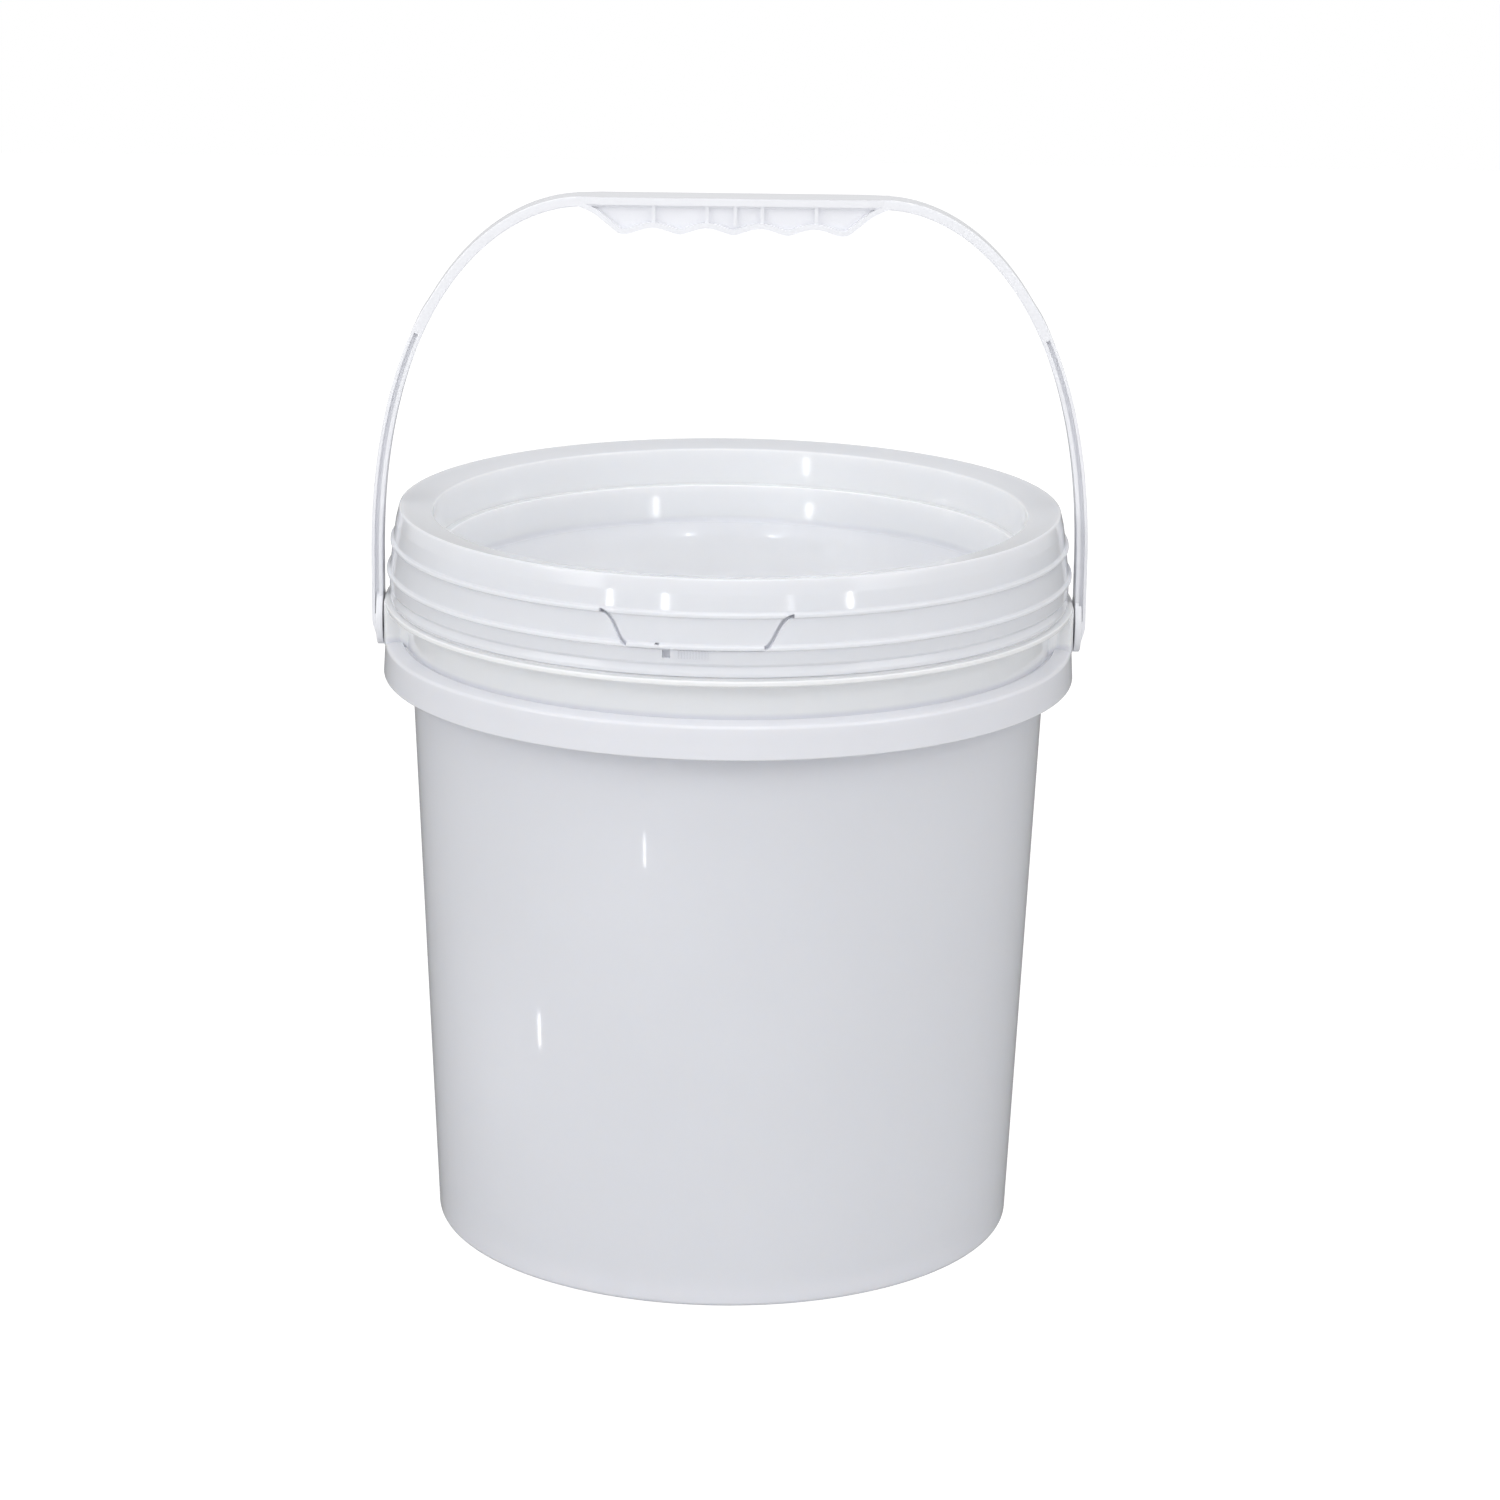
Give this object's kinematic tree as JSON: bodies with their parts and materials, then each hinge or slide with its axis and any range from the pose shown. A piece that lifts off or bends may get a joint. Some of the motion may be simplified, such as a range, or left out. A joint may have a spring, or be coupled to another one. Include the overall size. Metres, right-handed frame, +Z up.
{
  "type": "plastic bucket with lid",
  "caption": "Round white plastic pail with a tapered body, a press-on lid with a tear tab and stacking recess, a sealing ring and a swinging carrying handle with a finger grip.",
  "frame": {"origin": "middle of the foot ring's lower face, where the bucket stands", "axes": "+Z up along the bucket's axis, X through the two ears that carry the handle, the lid's tear tab towards -Y"},
  "size_m": [0.274, 0.2654, 0.4015],
  "materials": {
    "bucket_plastic": "white moulded plastic, glossy",
    "lid_plastic": "white moulded plastic, glossy",
    "handle_plastic": "white moulded plastic, satin",
    "seal_rubber": "soft pale foam rubber"
  },
  "bodies": {
    "bucket": {"bucket": "bucket_plastic"},
    "lid": {"lid": "lid_plastic", "lid_seal": "seal_rubber"},
    "handle": {"handle": "handle_plastic"}
  },
  "joints": [
    {"name": "handle_swing", "type": "hinge", "parent": "bucket", "child": "handle", "pos_m": [0, 0, 0.238], "axis": [1, 0, 0], "range_deg": [-122, 122]},
    {"name": "lid_lift", "type": "slide", "parent": "bucket", "child": "lid", "axis": [0, 0, 1], "range_m": [0, 0.025]}
  ]
}
